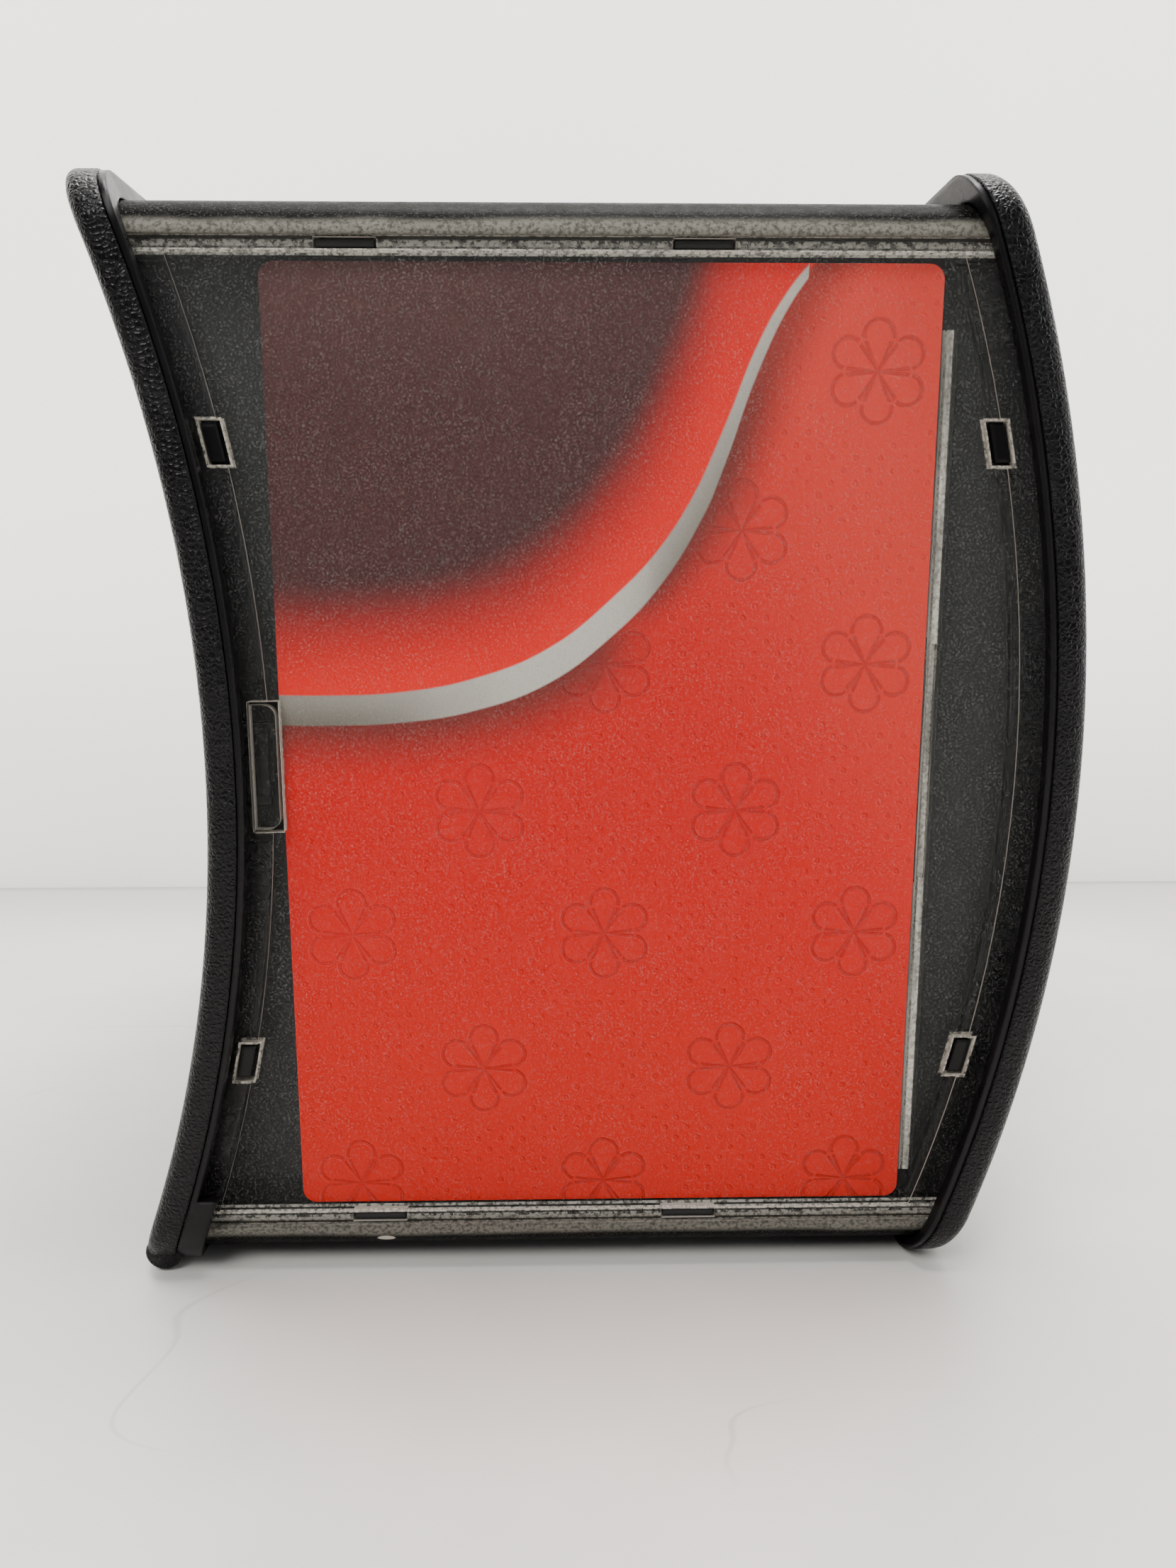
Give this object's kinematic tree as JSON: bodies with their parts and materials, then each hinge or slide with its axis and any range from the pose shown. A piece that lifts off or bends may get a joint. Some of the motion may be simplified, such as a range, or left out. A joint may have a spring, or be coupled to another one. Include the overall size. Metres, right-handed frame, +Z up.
{
  "type": "napkin dispenser",
  "caption": "Counter-top napkin dispenser with a concave drop-down front, a sprung pusher, black end frames and a card behind a smoked panel on each side.",
  "frame": {"origin": "on the counter, under the middle of the overall box", "axes": "+Z up, -X towards the dispensing face, +X towards the closed rear, +Y towards the left side panel seen by a user facing the front"},
  "size_m": [0.1612, 0.155, 0.183],
  "materials": {
    "black_grained": "leather-like grain with a soft gloss",
    "black_plastic": "smooth, satin",
    "smoke_plastic": "translucent smoke with a fine grain",
    "card_print": "satin printed card, red and maroon with a plain silver band",
    "clear_plastic": "clear extrusion",
    "spring_wire": "drawn wire",
    "pin_steel": "turned",
    "foot_rubber": "matt"
  },
  "bodies": {
    "shell": {"magazine": "black_plastic", "top_cover": "smoke_plastic", "bottom_cover": "smoke_plastic", "side_panel_right": "smoke_plastic", "side_panel_left": "smoke_plastic", "display_card_right": "card_print", "display_card_left": "card_print", "card_rail_right": "clear_plastic", "card_rail_left": "clear_plastic", "front_ring": "black_plastic", "rear_ring": "black_plastic", "rear_bezel": "black_grained", "rear_panel": "smoke_plastic", "spring_seat": "black_plastic", "pusher_spring": "spring_wire", "rubber_feet": "foot_rubber", "hinge_pin_right": "pin_steel", "hinge_pin_left": "pin_steel"},
    "door": {"front_bezel": "black_grained", "faceplate": "smoke_plastic"},
    "follower": {"pusher": "black_plastic", "spring_cup": "black_plastic"},
    "latch_arm_right": {"latch_right": "black_plastic"},
    "latch_arm_left": {"latch_left": "black_plastic"},
    "button_right": {"release_tab_right": "smoke_plastic"},
    "button_left": {"release_tab_left": "smoke_plastic"}
  },
  "joints": [
    {"name": "door_hinge", "type": "hinge", "parent": "shell", "child": "door", "pos_m": [-0.0759, 0, 0.0035], "axis": [0, -1, 0], "range_deg": [0, 85]},
    {"name": "pusher_slide", "type": "slide", "parent": "shell", "child": "follower", "axis": [1, 0, 0], "range_m": [0, 0.1], "stiffness_N_per_m": 40, "springref_m": -0.05, "deforming": ["pusher_spring"]},
    {"name": "release_tab_right_press", "type": "hinge", "parent": "shell", "child": "button_right", "pos_m": [-0.05592, -0.072, 0.09055], "axis": [0, 0, 1], "range_deg": [0, 12], "stiffness_Nm_per_rad": 0.05},
    {"name": "release_tab_left_press", "type": "hinge", "parent": "shell", "child": "button_left", "pos_m": [-0.05592, 0.072, 0.09055], "axis": [0, 0, -1], "range_deg": [0, 12], "stiffness_Nm_per_rad": 0.05},
    {"name": "latch_right_flex", "type": "hinge", "parent": "door", "child": "latch_arm_right", "pos_m": [-0.06027, -0.0698, 0.09055], "axis": [0, 0, 1], "range_deg": [0, 5]},
    {"name": "latch_left_flex", "type": "hinge", "parent": "door", "child": "latch_arm_left", "pos_m": [-0.06027, 0.0698, 0.09055], "axis": [0, 0, -1], "range_deg": [0, 5]}
  ],
  "couplings": [
    {"joint": "latch_right_flex", "follows": "release_tab_right_press", "ratio": 0.4},
    {"joint": "latch_left_flex", "follows": "release_tab_left_press", "ratio": 0.4}
  ]
}
